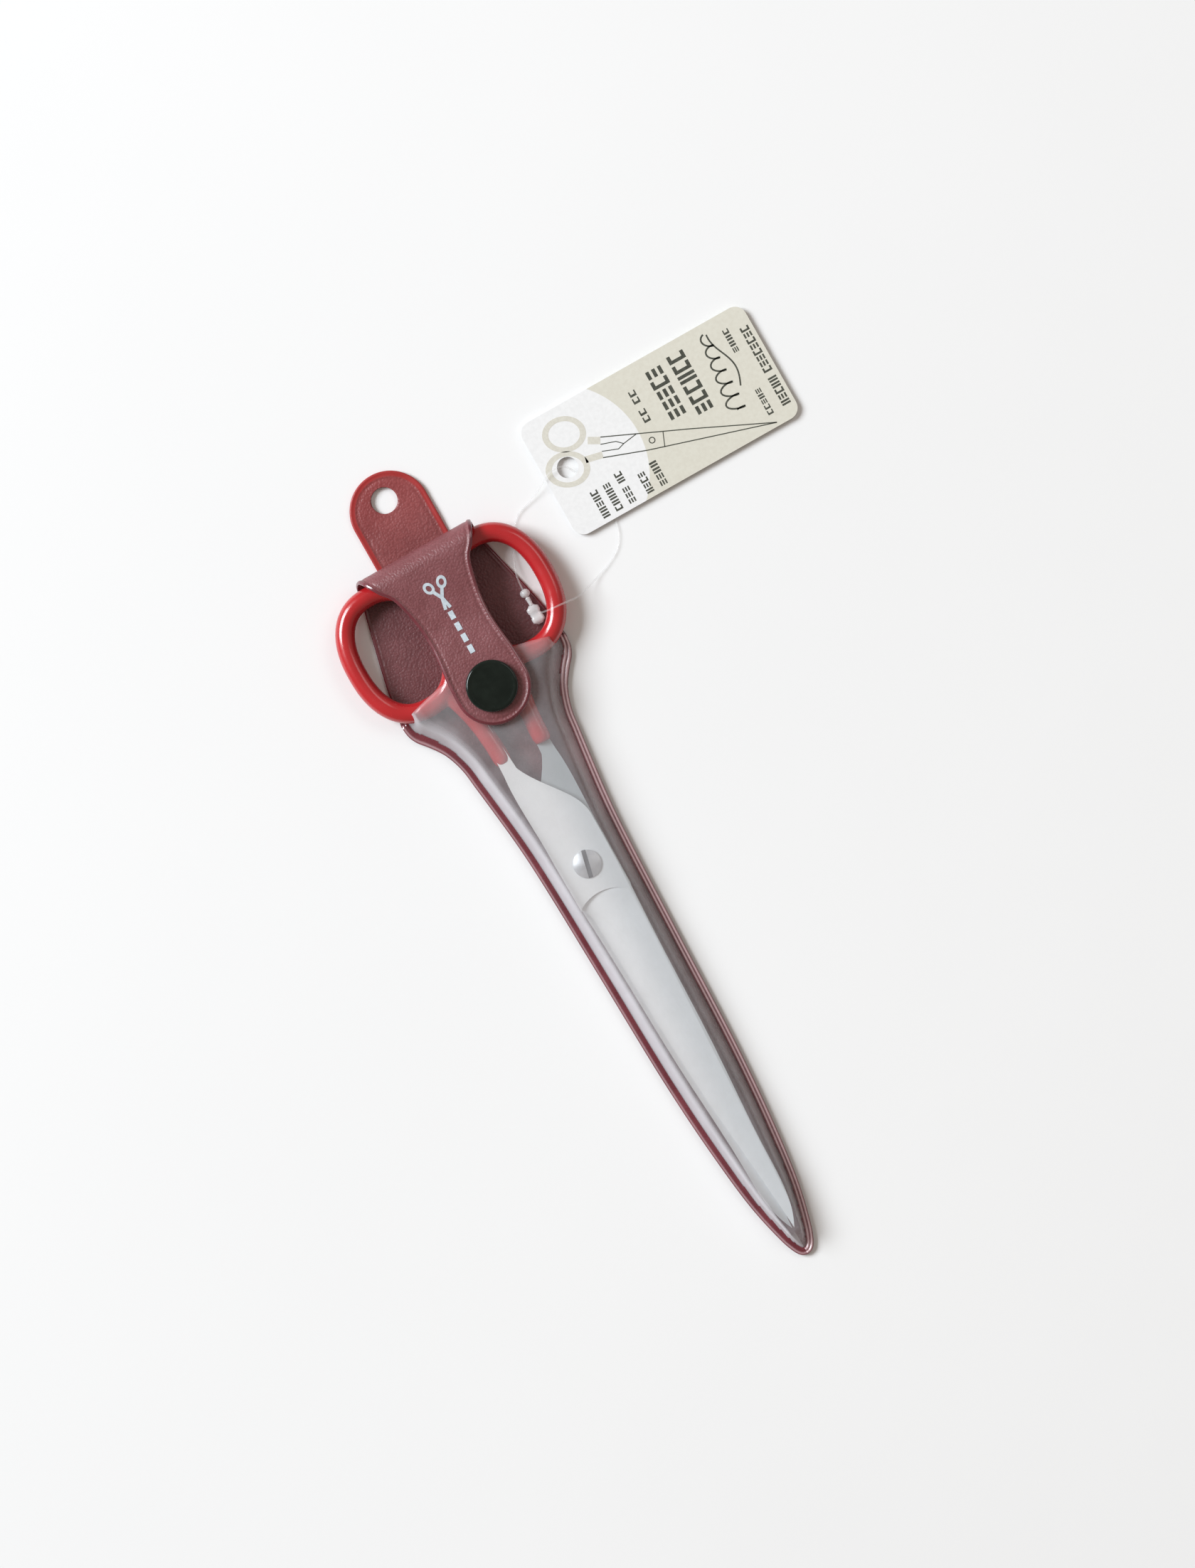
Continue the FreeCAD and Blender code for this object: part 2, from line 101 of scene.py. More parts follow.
class Shader:
    """A material under construction, with its nodes made by name."""

    def __init__(self, name):
        self.material = bpy.data.materials.new(name)
        self.material.use_nodes = True
        self.tree = self.material.node_tree
        self.surface = self.tree.nodes["Principled BSDF"]
        self.where = self.add("TexCoord").outputs["Object"]

    def add(self, kind, **settings):
        node = self.tree.nodes.new("ShaderNode" + kind)
        for key, value in settings.items():
            setattr(node, key, value)
        return node

    def link(self, source, target):
        self.tree.links.new(source, target)

    def set(self, **values):
        for key, value in values.items():
            self.surface.inputs[key.replace("_", " ")].default_value = value

    def math(self, operation, a, b=None, c=None, clamp=False):
        node = self.add("Math", operation=operation, use_clamp=clamp)
        for socket, value in zip(node.inputs, (a, b, c)):
            if value is None:
                continue
            if isinstance(value, (int, float)):
                socket.default_value = value
            else:
                self.link(value, socket)
        return node.outputs[0]

    def axes(self, vector=None):
        node = self.add("SeparateXYZ")
        self.link(vector or self.where, node.inputs[0])
        return node.outputs

    def offset_from(self, middle):
        """How far along X, along Y and in all the place is from a vertical axis."""
        x, y, _ = self.axes()
        dx = self.math("SUBTRACT", x, middle.x)
        dy = self.math("SUBTRACT", y, middle.y)
        return dx, dy, self.length(dx, dy)

    def length(self, dx, dy):
        squares = self.math("ADD", self.math("MULTIPLY", dx, dx), self.math("MULTIPLY", dy, dy))
        return self.math("SQRT", squares)

    def scaled(self, x, y, z, vector=None):
        node = self.add("Mapping")
        node.inputs["Scale"].default_value = (x, y, z)
        self.link(vector or self.where, node.inputs["Vector"])
        return node.outputs[0]

    def noise(self, scale, detail=4.0, rough=0.55, vector=None):
        node = self.add("TexNoise")
        node.inputs["Scale"].default_value = scale
        node.inputs["Detail"].default_value = detail
        node.inputs["Roughness"].default_value = rough
        self.link(vector or self.where, node.inputs["Vector"])
        return node.outputs["Fac"]

    def cells(self, scale, vector=None, feature="SMOOTH_F1"):
        node = self.add("TexVoronoi", feature=feature)
        node.inputs["Scale"].default_value = scale
        self.link(vector or self.where, node.inputs["Vector"])
        return node.outputs["Distance"]

    def ramp(self, value, low, high, out_low=0.0, out_high=1.0):
        node = self.add("MapRange", interpolation_type="SMOOTHSTEP")
        node.inputs["From Min"].default_value = low
        node.inputs["From Max"].default_value = high
        node.inputs["To Min"].default_value = out_low
        node.inputs["To Max"].default_value = out_high
        self.link(value, node.inputs["Value"])
        return node.outputs[0]

    def mix(self, share, a, b):
        node = self.add("Mix", data_type="RGBA")
        for key, value in (("Factor", share), ("A", a), ("B", b)):
            socket = next(s for s in node.inputs if s.name == key and s.enabled)
            if isinstance(value, tuple):
                socket.default_value = (*value, 1.0)
            elif isinstance(value, (int, float)):
                socket.default_value = value
            else:
                self.link(value, socket)
        return next(s for s in node.outputs if s.enabled)

    def colour(self, value):
        self.link(value, self.surface.inputs["Base Color"])

    def roughness(self, value):
        self.link(value, self.surface.inputs["Roughness"])

    def bump(self, height, distance, strength=1.0, below=None):
        node = self.add("Bump")
        node.inputs["Distance"].default_value = distance
        node.inputs["Strength"].default_value = strength
        self.link(height, node.inputs["Height"])
        if below is not None:
            self.link(below, node.inputs["Normal"])
        self.link(node.outputs[0], self.surface.inputs["Normal"])
        return node.outputs[0]


def grained_vinyl(name, dark, light, gloss=0.42, attribute=None):
    """Calendered vinyl: leather-like cells with fine creases between them."""
    s = Shader(name)
    place = s.where
    if attribute:
        place = s.add("Attribute", attribute_name=attribute).outputs["Vector"]
    warp = s.add("VectorMath", operation="MULTIPLY_ADD")
    noise = s.add("TexNoise")
    noise.inputs["Scale"].default_value = 700
    s.link(place, noise.inputs["Vector"])
    s.link(noise.outputs["Color"], warp.inputs[0])
    warp.inputs[1].default_value = (0.0004, 0.0004, 0.0004)
    s.link(place, warp.inputs[2])
    cells = s.cells(1700, warp.outputs[0])
    fine = s.noise(3200, 3, 0.6, place)
    pores = s.ramp(cells, 0.15, 0.75)
    height = s.math("ADD", s.math("MULTIPLY", pores, -0.7), s.math("MULTIPLY", fine, 0.45))
    s.bump(height, 0.00016, 0.6)
    patches = s.ramp(s.noise(70, 4, 0.6, place), 0.3, 0.75)
    worn = s.mix(patches, dark, light)
    creased = s.mix(s.math("MULTIPLY", pores, 0.35), worn, tuple(0.6 * c for c in dark))
    s.colour(creased)
    s.roughness(s.ramp(fine, 0.3, 0.7, gloss - 0.06, gloss + 0.12))
    s.set(Specular_IOR_Level=0.55, Coat_Weight=0.12, Coat_Roughness=0.35)
    return s


def smooth_weld(name, dark, light):
    """Vinyl pressed smooth by the welding bar, glossier than the grain beside it."""
    s = Shader(name)
    plain = s.mix(s.ramp(s.noise(120, 3), 0.3, 0.7), dark, light)
    # painted highlights: the two fine pale lines along the weld ridges
    pale = s.add("Attribute", attribute_name="rubbed").outputs["Fac"]
    s.colour(s.mix(s.math("MULTIPLY", pale, 0.85), plain, (0.96, 0.70, 0.74)))
    s.roughness(s.ramp(s.noise(500, 3), 0.3, 0.7, 0.22, 0.34))
    s.bump(s.noise(300, 2), 0.00003, 0.3)
    s.set(Specular_IOR_Level=0.75, Coat_Weight=0.7, Coat_Roughness=0.12)
    return s.material


TAB_BAND = (1.9 * MM, 1.2 * MM)


def tab_vinyl():
    """Grained in the middle, with a smooth redder band along the welded edge."""
    s = grained_vinyl("tab_vinyl", (0.215, 0.046, 0.048), (0.29, 0.072, 0.074))
    x, y, _ = s.axes()
    middle = (TAB[0].x + TAB[1].x) / 2
    half = (TAB[1].x - TAB[0].x) / 2
    shoulder = TAB[1].y - half
    dx = s.math("SUBTRACT", x, middle)
    dy = s.math("MAXIMUM", s.math("SUBTRACT", y, shoulder), 0.0)
    band = s.ramp(s.length(dx, dy), half - TAB_BAND[0], half - TAB_BAND[1])
    body = s.surface.inputs["Base Color"].links[0].from_socket
    rising = s.ramp(y, FOLD[1].y, TAB[1].y, 0.0, 0.35)
    redder = s.mix(rising, body, (0.36, 0.030, 0.030))
    s.colour(s.mix(band, redder, (0.36, 0.020, 0.020)))
    smooth = s.math("SUBTRACT", 1.0, band)
    bump = s.surface.inputs["Normal"].links[0].from_node
    s.link(s.math("MULTIPLY", smooth, 0.55), bump.inputs["Strength"])
    return s.material


def clear_vinyl(name, thin, thick, tint, rough=None):
    """See-through vinyl with a milky haze, cloudier in places and whitened where it is drawn down
    steeply, much more on the left side's walls as painted light. The skin outside has a soft gloss and
    the face inside none."""
    s = Shader(name)
    s.tree.nodes.remove(s.surface)
    cloud = s.ramp(s.noise(60, 3), 0.3, 0.7)
    haze = s.ramp(s.noise(110, 3), 0.25, 0.75, thin, thick)
    steep = s.add("Attribute", attribute_name="steep").outputs["Fac"]
    milk = s.add("BsdfDiffuse")
    s.link(s.mix(cloud, tint, tuple(0.90 * c for c in tint)), milk.inputs["Color"])
    body = s.add("MixShader")
    # the haze grows on steep walls and, as painted light, far more on the left side's walls
    s.link(s.math("MULTIPLY_ADD", steep, 0.34, haze, clamp=True), body.inputs[0])
    s.link(s.add("BsdfTransparent").outputs[0], body.inputs[1])
    s.link(milk.outputs[0], body.inputs[2])
    out = body
    if rough:
        shine = s.add("BsdfGlossy")
        s.link(s.ramp(s.noise(260, 4), 0.3, 0.7, rough - 0.05, rough + 0.08), shine.inputs["Roughness"])
        grain = s.add("Bump")
        grain.inputs["Distance"].default_value = 0.00003
        grain.inputs["Strength"].default_value = 0.4
        s.link(s.noise(1400, 2), grain.inputs["Height"])
        s.link(grain.outputs[0], shine.inputs["Normal"])
        edge = s.add("LayerWeight")
        edge.inputs["Blend"].default_value = 0.5
        glance = s.math("POWER", edge.outputs["Facing"], 5.0)
        out = s.add("MixShader")
        s.link(s.math("MULTIPLY_ADD", glance, 0.9, 0.06), out.inputs[0])
        s.link(body.outputs[0], out.inputs[1])
        s.link(shine.outputs[0], out.inputs[2])
    s.link(out.outputs[0], s.tree.nodes["Material Output"].inputs["Surface"])
    return s.material


SPINE_NEAR = at(6.9, -20)
SPINE_FAR = at(2.6, -117)
TANG_FROM = at(0, 3)
TANG_TO = at(0, 19)


def satin_steel(name, tang=0.0):
    """Blasted steel with fine lengthwise lines, blue-grey painted shade deepening toward the spine, a
    strip left along the spine darker with painted shade and, on the rear half, painted dark reflections on
    the tang."""
    s = Shader(name)
    lines = s.noise(1.0, 3, 0.6, s.scaled(9000, 160, 9000))
    cloud = s.noise(60, 4)
    shade = s.mix(s.ramp(cloud, 0.3, 0.7), (0.92, 0.94, 0.945), (0.97, 0.985, 0.99))
    lined = s.mix(s.ramp(lines, 0.35, 0.65, 0.0, 0.3), shade, (0.80, 0.82, 0.83))
    x, y, _ = s.axes()
    lean = (SPINE_NEAR.x - SPINE_FAR.x) / (SPINE_NEAR.y - SPINE_FAR.y)
    along = s.math("MULTIPLY_ADD", y, lean, SPINE_NEAR.x - lean * SPINE_NEAR.y)
    past = s.math("SUBTRACT", x, along)
    # painted shade: blue-grey darkening from about 11 mm inside the spine line out to it, in place of dark
    # reflections
    spine_shaded = s.mix(s.ramp(past, -11 * MM, -1 * MM, 0.0, 0.42), lined, (0.44, 0.52, 0.56))
    # painted shade: a dark strip just past the spine line
    strip = s.ramp(past, -0.15 * MM, 0.15 * MM, 0.0, 0.6)
    ground = s.mix(strip, spine_shaded, (0.42, 0.44, 0.44))
    # painted dark reflections on the tang, as strong as tang asks
    tang_shade = s.ramp(y, TANG_FROM.y, TANG_TO.y, 0.0, tang)
    s.colour(s.mix(tang_shade, ground, (0.27, 0.32, 0.34)))
    s.roughness(s.ramp(lines, 0.3, 0.7, 0.42, 0.54))
    s.bump(lines, 0.00002, 0.4)
    s.set(Metallic=0.45, Specular_IOR_Level=0.8)
    return s.material


TURNED_PITCH = 0.18 * MM
SLOT = (math.radians(-13), 1.2 * MM)


def turned_steel(name, middle, low, high, slot=None):
    """Steel with fine rings round its axis, as the lathe leaves it, and painted shade in its slot if it has
    one.
    """
    s = Shader(name)
    dx, dy, reach = s.offset_from(middle)
    wave = s.math("SINE", s.math("MULTIPLY", reach, 2 * math.pi / TURNED_PITCH))
    shade = s.mix(s.ramp(s.noise(400, 3), 0.3, 0.7), low, high)
    if slot:
        turn, wide = slot
        across = s.math("MULTIPLY", dx, math.cos(turn))
        aside = s.math("ADD", across, s.math("MULTIPLY", dy, math.sin(turn)))
        # painted shade: the slot darkened to about a third of the steel's tone
        inside = s.ramp(s.math("ABSOLUTE", aside), wide / 2 - 0.05 * MM, wide / 2 + 0.1 * MM, 1.0, 0.0)
        shade = s.mix(inside, shade, tuple(0.30 * c for c in low))
    s.colour(shade)
    s.roughness(s.ramp(wave, -1.0, 1.0, 0.34, 0.46))
    s.bump(wave, 0.00001, 0.5)
    s.set(Metallic=0.8, Specular_IOR_Level=0.7)
    return s.material


def dipped_rubber():
    """A thick glossy coat that has flowed a little before it set."""
    s = Shader("dipped_rubber")
    flow = s.noise(55, 2)
    s.colour(s.mix(s.ramp(flow, 0.3, 0.7), (0.44, 0.013, 0.017), (0.50, 0.020, 0.024)))
    specks = s.ramp(s.noise(2400, 2), 0.68, 0.8)
    gloss = s.ramp(s.noise(300, 4), 0.3, 0.7, 0.20, 0.29)
    s.roughness(s.math("ADD", gloss, s.math("MULTIPLY", specks, 0.25)))
    s.bump(s.math("ADD", flow, s.math("MULTIPLY", s.noise(1500, 2), 0.03)), 0.0006, 0.3)
    s.set(Specular_IOR_Level=0.55, Coat_Weight=0.5, Coat_Roughness=0.12, Subsurface_Weight=0.04)
    s.set(Subsurface_Radius=(0.002, 0.0004, 0.0003))
    return s.material


def black_snap():
    """Polished black plastic with a few fine scratches."""
    s = Shader("black_snap")
    s.colour(s.mix(s.ramp(s.noise(200, 3), 0.35, 0.7), (0.004, 0.008, 0.006), (0.008, 0.013, 0.010)))
    scratches = s.ramp(s.noise(1.0, 2, 0.5, s.scaled(5200, 420, 900)), 0.66, 0.74)
    gloss = s.ramp(s.noise(700, 3), 0.3, 0.7, 0.10, 0.18)
    s.roughness(s.math("ADD", s.math("MULTIPLY", scratches, 0.2), gloss))
    s.bump(s.noise(160, 2), 0.0001, 0.25)
    s.set(Specular_IOR_Level=0.3, Coat_Weight=0.15, Coat_Roughness=0.06)
    return s.material


def clear_nylon(name, thin, thick):
    """Clear nylon, between two amounts of cloudiness."""
    s = Shader(name)
    s.colour(s.mix(s.ramp(s.noise(500, 3), 0.3, 0.7), (0.78, 0.79, 0.80), (0.92, 0.92, 0.92)))
    s.roughness(s.ramp(s.noise(900, 3), 0.3, 0.7, 0.18, 0.3))
    s.bump(s.noise(1400, 2), 0.00006, 0.4)
    s.link(s.ramp(s.noise(260, 2), 0.3, 0.7, thin, thick), s.surface.inputs["Alpha"])
    s.set(Specular_IOR_Level=0.7, Coat_Weight=0.3)
    return s.material


WHITE_DISC = 25.7 * MM
WHITE_MIDDLE = at(46.5, 98.7)


def printed_card():
    """Uncoated board with a white disc printed round the hole on beige."""
    s = Shader("printed_card")
    _, _, reach = s.offset_from(WHITE_MIDDLE)
    fibres = s.noise(900, 5, 0.65)
    beige = s.mix(s.ramp(fibres, 0.3, 0.7), (0.68, 0.655, 0.565), (0.72, 0.70, 0.61))
    white = s.mix(s.ramp(fibres, 0.3, 0.7), (0.83, 0.83, 0.83), (0.88, 0.88, 0.88))
    s.colour(s.mix(s.ramp(reach, WHITE_DISC - 0.1 * MM, WHITE_DISC + 0.1 * MM), white, beige))
    s.roughness(s.ramp(fibres, 0.3, 0.7, 0.62, 0.8))
    s.bump(fibres, 0.00004, 0.25)
    return s.material


def ink(name, low, high):
    """Printing ink, a little uneven."""
    s = Shader(name)
    s.colour(s.mix(s.ramp(s.noise(1300, 4), 0.35, 0.7), low, high))
    s.roughness(s.ramp(s.noise(800, 3), 0.3, 0.7, 0.45, 0.65))
    s.bump(s.noise(2500, 2), 0.00002, 0.4)
    return s.material


STEEL = satin_steel("satin_steel")
# 0.6 is the strength of the painted dark reflections on the rear tang
REAR_STEEL = satin_steel("satin_steel_rear", 0.6)
RUBBER = dipped_rubber()
GRAIN = grained_vinyl("sheath_vinyl", (0.140, 0.040, 0.045), (0.200, 0.066, 0.073)).material
STRAP_GRAIN = grained_vinyl(
    "strap_vinyl", (0.195, 0.056, 0.062), (0.260, 0.086, 0.096), gloss=0.40, attribute="flat",
).material
WELD = smooth_weld("weld_vinyl", (0.120, 0.012, 0.022), (0.170, 0.024, 0.036))
TAB_GRAIN = tab_vinyl()
CLEAR_SKIN = clear_vinyl("clear_skin", 0.10, 0.14, (0.84, 0.82, 0.86), 0.36)
FROSTED = clear_vinyl("frosted_inside", 0.07, 0.11, (0.80, 0.78, 0.82))
SNAP_BLACK = black_snap()
SNAP_METAL = turned_steel("snap_plating", (CAP[0] + CAP[1]) / 2, (0.62, 0.52, 0.33), (0.75, 0.66, 0.46))
SCREW = turned_steel("screw_steel", PIVOT, (0.60, 0.62, 0.65), (0.74, 0.76, 0.78), SLOT)
NYLON = clear_nylon("clear_nylon", 0.12, 0.20)
MOULDED = clear_nylon("moulded_nylon", 0.50, 0.68)
BOARD = printed_card()
DARK_INK = ink("olive_ink", (0.045, 0.048, 0.036), (0.080, 0.083, 0.064))
BEIGE_INK = ink("beige_ink", (0.66, 0.635, 0.56), (0.72, 0.70, 0.62))
PALE_INK = ink("pale_ink", (0.50, 0.57, 0.63), (0.62, 0.69, 0.74))


# ---- mesh tools ----

def add_mesh(name, verts, faces, materials, smooth=True):
    mesh = bpy.data.meshes.new(name)
    mesh.from_pydata([tuple(v) for v in verts], [], faces)
    mesh.validate()
    tidy = bmesh.new()
    tidy.from_mesh(mesh)
    bmesh.ops.recalc_face_normals(tidy, faces=tidy.faces)
    tidy.to_mesh(mesh)
    tidy.free()
    for material in materials:
        mesh.materials.append(material)
    mesh.polygons.foreach_set("use_smooth", [smooth] * len(mesh.polygons))
    thing = bpy.data.objects.new(name, mesh)
    bpy.context.collection.objects.link(thing)
    return thing


def curve_through(points, per_span=12):
    """A smooth line through plane points, as centripetal Catmull-Rom spans."""
    p = np.array(points, float)
    ends = np.vstack([2 * p[0] - p[1], p, 2 * p[-1] - p[-2]])
    out = []
    for a, b, c, d in zip(ends, ends[1:], ends[2:], ends[3:]):
        ta = 0.0
        tb = ta + np.linalg.norm(b - a) ** 0.5
        tc = tb + np.linalg.norm(c - b) ** 0.5
        td = tc + np.linalg.norm(d - c) ** 0.5
        for t in np.linspace(tb, tc, per_span, endpoint=False):
            ab = ((tb - t) * a + (t - ta) * b) / (tb - ta)
            bc = ((tc - t) * b + (t - tb) * c) / (tc - tb)
            cd = ((td - t) * c + (t - tc) * d) / (td - tc)
            abc = ((tc - t) * ab + (t - ta) * bc) / (tc - ta)
            bcd = ((td - t) * bc + (t - tb) * cd) / (td - tb)
            out.append(((tc - t) * abc + (t - tb) * bcd) / (tc - tb))
    return np.array(out + [p[-1]])


def smoothstep(t):
    t = np.clip(t, 0.0, 1.0)
    return t * t * (3 - 2 * t)


def ridge(depth, middle, width, height=1.0):
    """A rounded rise that follows the edge at a depth inside it."""
    return height * np.exp(-(((depth - middle) / width) ** 2))


def cell_centres(values):
    return 0.25 * (values[:-1, :-1] + values[1:, :-1] + values[:-1, 1:] + values[1:, 1:])


def quarter_round(radius, length, steps):
    """Points of a quarter circle that ends on the centre line at a length."""
    turns = [0.5 * math.pi * k / steps for k in range(1, steps + 1)]
    return [(radius * math.cos(t), length - radius + radius * math.sin(t)) for t in turns]


def squared(value, power):
    """A cosine or sine drawn out toward a squarer shape, with its sign kept."""
    return math.copysign(abs(value) ** power, value)


class SheetOutline:
    """A sheet that is symmetric about its own centre line, in millimetres: (half width, length)."""

    def __init__(self, side):
        self.side = np.array(side)

    def half(self, y):
        order = np.argsort(self.side[:, 1], kind="stable")
        return np.interp(y, self.side[order, 1], self.side[order, 0])

    def depth(self, x, y):
        """How far each point lies inside the two sides."""
        points = np.stack([x.ravel(), y.ravel()], 1)
        best = np.full(len(points), 1e9)
        for a, b in zip(self.side, self.side[1:]):
            for sign in (-1, 1):
                start = a * (sign, 1)
                run = b * (sign, 1) - start
                t = np.clip(((points - start) @ run) / max(run @ run, 1e-12), 0, 1)
                gap = np.linalg.norm(points - start - t[:, None] * run, axis=1)
                best = np.minimum(best, gap)
        return best.reshape(x.shape)


RIM_STEPS = [0, 0.08, 0.2, 0.35, 0.5, 0.65, 0.8, 0.95, 1.1, 1.25, 1.4, 1.55, 1.7, 1.85, 2.0, 2.15,
             2.4, 2.8, 3.3, 3.9, 4.6, 5.4]
INSIDE_STEPS = 9


def sheet_grid(outline, rows, rim=RIM_STEPS):
    """Columns at fixed distances from both edges and even ones between them."""
    half = outline.half(rows)
    full = 1.7 * rim[-1]
    squeeze = np.minimum(1.0, half / full)
    inset = [half - r * squeeze for r in rim]
    inner = inset[-1]
    middle = [inner * (1 - k / INSIDE_STEPS) for k in range(1, INSIDE_STEPS)]
    right = inset + middle
    columns = [-c for c in right] + [0 * half] + right[::-1]
    x = np.stack(columns, 1)
    y = np.repeat(rows[:, None], x.shape[1], 1)
    return x, y


def normals_of(grid):
    along = np.gradient(grid, axis=0)
    across = np.gradient(grid, axis=1)
    n = np.cross(across, along)
    return n / np.maximum(np.linalg.norm(n, axis=2, keepdims=True), 1e-12)


def solid_sheet(name, top, bottom, materials, index=None, under=None, flat=None, **shades):
    """A closed sheet between two grids of points, with a material number for each cell and any
    named shades, each a number for each point, that its materials read."""
    rows, columns, _ = top.shape
    count = rows * columns
    verts = np.vstack([top.reshape(-1, 3), bottom.reshape(-1, 3)]) * MM
    verts[:, 1] += PIVOT_Y
    cell = lambda r, c: r * columns + c
    faces, marks = [], []
    for r in range(rows - 1):
        for c in range(columns - 1):
            quad = [cell(r, c), cell(r, c + 1), cell(r + 1, c + 1), cell(r + 1, c)]
            mark = int(index[r, c]) if index is not None else 0
            faces.append(quad)
            faces.append([count + v for v in reversed(quad)])
            marks += [mark, int(under[r, c]) if under is not None else mark]
    border = [cell(0, c) for c in range(columns)]
    border += [cell(r, columns - 1) for r in range(1, rows)]
    border += [cell(rows - 1, c) for c in range(columns - 2, -1, -1)]
    border += [cell(r, 0) for r in range(rows - 2, 0, -1)]
    for a, b in zip(border, border[1:] + border[:1]):
        faces.append([b, a, count + a, count + b])
        marks.append(len(materials) - 1)
    thing = add_mesh(name, verts, faces, materials)
    if len(thing.data.polygons) == len(marks):
        thing.data.polygons.foreach_set("material_index", marks)
    if flat is not None:
        layer = thing.data.attributes.new("flat", "FLOAT_VECTOR", "POINT")
        layer.data.foreach_set("vector", np.vstack([flat, flat]).astype(np.float32).ravel())
    for shade, values in shades.items():
        layer = thing.data.attributes.new(shade, "FLOAT", "POINT")
        layer.data.foreach_set("value", np.concatenate([values.ravel()] * 2).astype(np.float32))
    return thing


def uneven(x, y, seed, size, count=5):
    """A smooth seeded ripple between about -1 and 1."""
    random = np.random.default_rng(seed)
    total = np.zeros_like(x)
    for _ in range(count):
        angle, phase, stretch = random.uniform(0, 2 * math.pi, 3)
        k = 2 * math.pi / (size * (0.6 + 0.15 * stretch))
        total += np.sin(k * (x * math.cos(angle) + y * math.sin(angle)) + phase)
    return total / count


def tube(points, radii, around, closed=False):
    """Vertices and faces of a tube along points, in metres, with rounded ends if it is open."""
    points = [Vector(p) for p in points]
    verts, faces = [], []
    count = len(points)
    for i, p in enumerate(points):
        before = points[(i - 1) % count] if closed or i else p
        after = points[(i + 1) % count] if closed or i < count - 1 else p
        along = (after - before).normalized()
        side = along.cross(Vector((0, 0, 1))).normalized()
        up = side.cross(along)
        for k in range(around):
            turn = 2 * math.pi * k / around
            verts.append(p + radii[i] * (side * math.cos(turn) + up * math.sin(turn)))
    spans = count if closed else count - 1
    for i in range(spans):
        for k in range(around):
            a, b = i * around + k, i * around + (k + 1) % around
            c, d = ((i + 1) % count) * around + (k + 1) % around, ((i + 1) % count) * around + k
            faces.append([a, b, c, d])
    if not closed:
        faces.append(list(range(around))[::-1])
        faces.append([(count - 1) * around + k for k in range(around)])
    return verts, faces


def joined(*parts):
    verts, faces = [], []
    for v, f in parts:
        start = len(verts)
        verts += list(v)
        faces += [[start + i for i in face] for face in f]
    return verts, faces


def apply_modifiers(thing):
    depsgraph = bpy.context.evaluated_depsgraph_get()
    mesh = bpy.data.meshes.new_from_object(thing.evaluated_get(depsgraph))
    old = thing.data
    thing.modifiers.clear()
    thing.data = mesh
    bpy.data.meshes.remove(old)
    mesh.polygons.foreach_set("use_smooth", [True] * len(mesh.polygons))


# ---- the tag's loop: a clear nylon filament from the lock round the ring, through the tag ----

LOOP_DIAMETER = 0.55 * MM
LOOP_ROUTE = [
    (22.8, 67.8, 3.6), (23.3, 67.4, 6.6), (26.3, 66.8, 9.6), (30.2, 66.5, 10.1),
    (33.8, 66.1, 7.2), (36.4, 66.7, 3.2), (41.2, 68.3, 0.6), (47.2, 70.2, 0.4),
    (52.0, 73.4, 0.45), (54.5, 78.6, 0.4), (54.7, 85.0, 0.4), (53.6, 91.2, 0.4),
    (51.5, 97.0, 0.5), (49.3, 100.7, 2.4), (44.9, 100.9, 2.7), (40.4, 98.4, 1.6),
    (36.2, 96.3, 0.6), (31.6, 95.3, 0.5), (28.1, 92.0, 0.5), (25.6, 87.6, 0.6),
    (23.5, 83.2, 1.6), (22.2, 79.2, 2.5), (22.1, 75.8, 2.5),
]

loop_curve = bpy.data.curves.new("tag_filament", "CURVE")
loop_curve.dimensions = "3D"
loop_curve.bevel_depth = LOOP_DIAMETER / 2
loop_curve.bevel_resolution = 3
loop_curve.resolution_u = 10
loop_curve.use_fill_caps = True
spline = loop_curve.splines.new("NURBS")
spline.points.add(len(LOOP_ROUTE) - 1)
for spot, place in zip(spline.points, LOOP_ROUTE):
    spot.co = (*at(*place), 1.0)
spline.order_u = 3
spline.use_endpoint_u = True
loop_curve.materials.append(NYLON)
loop = bpy.data.objects.new("tag_filament", loop_curve)
bpy.context.collection.objects.link(loop)
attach(loop, "rear_half")
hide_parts("tag_loop")


def lathe(name, profile, material, middle, around=96):
    """A turned piece from (radius, height) corners in millimetres, from axis to axis."""
    verts, faces = [], []
    for r, z in profile:
        for k in range(around if r > 0 else 1):
            turn = 2 * math.pi * k / around
            verts.append(middle + Vector((r * math.cos(turn), r * math.sin(turn), z)) * MM)
    starts, total = [], 0
    for r, _ in profile:
        starts.append(total)
        total += around if r > 0 else 1
    for i in range(len(profile) - 1):
        for k in range(around):
            n = (k + 1) % around
            low = [starts[i] + k, starts[i] + n] if profile[i][0] > 0 else [starts[i]]
            high = [starts[i + 1] + n, starts[i + 1] + k] if profile[i + 1][0] > 0 else [starts[i + 1]]
            faces.append(low + high)
    return add_mesh(name, verts, faces, [material])


# ---- loop lock and bead ----

LOCK_CORNER = 0.55
ARM_RADIUS = 0.72 * MM
ARM_TAPER = 0.22 * MM
ARM_RIB = 0.07 * MM
ARM_GAP = 0.2 * MM


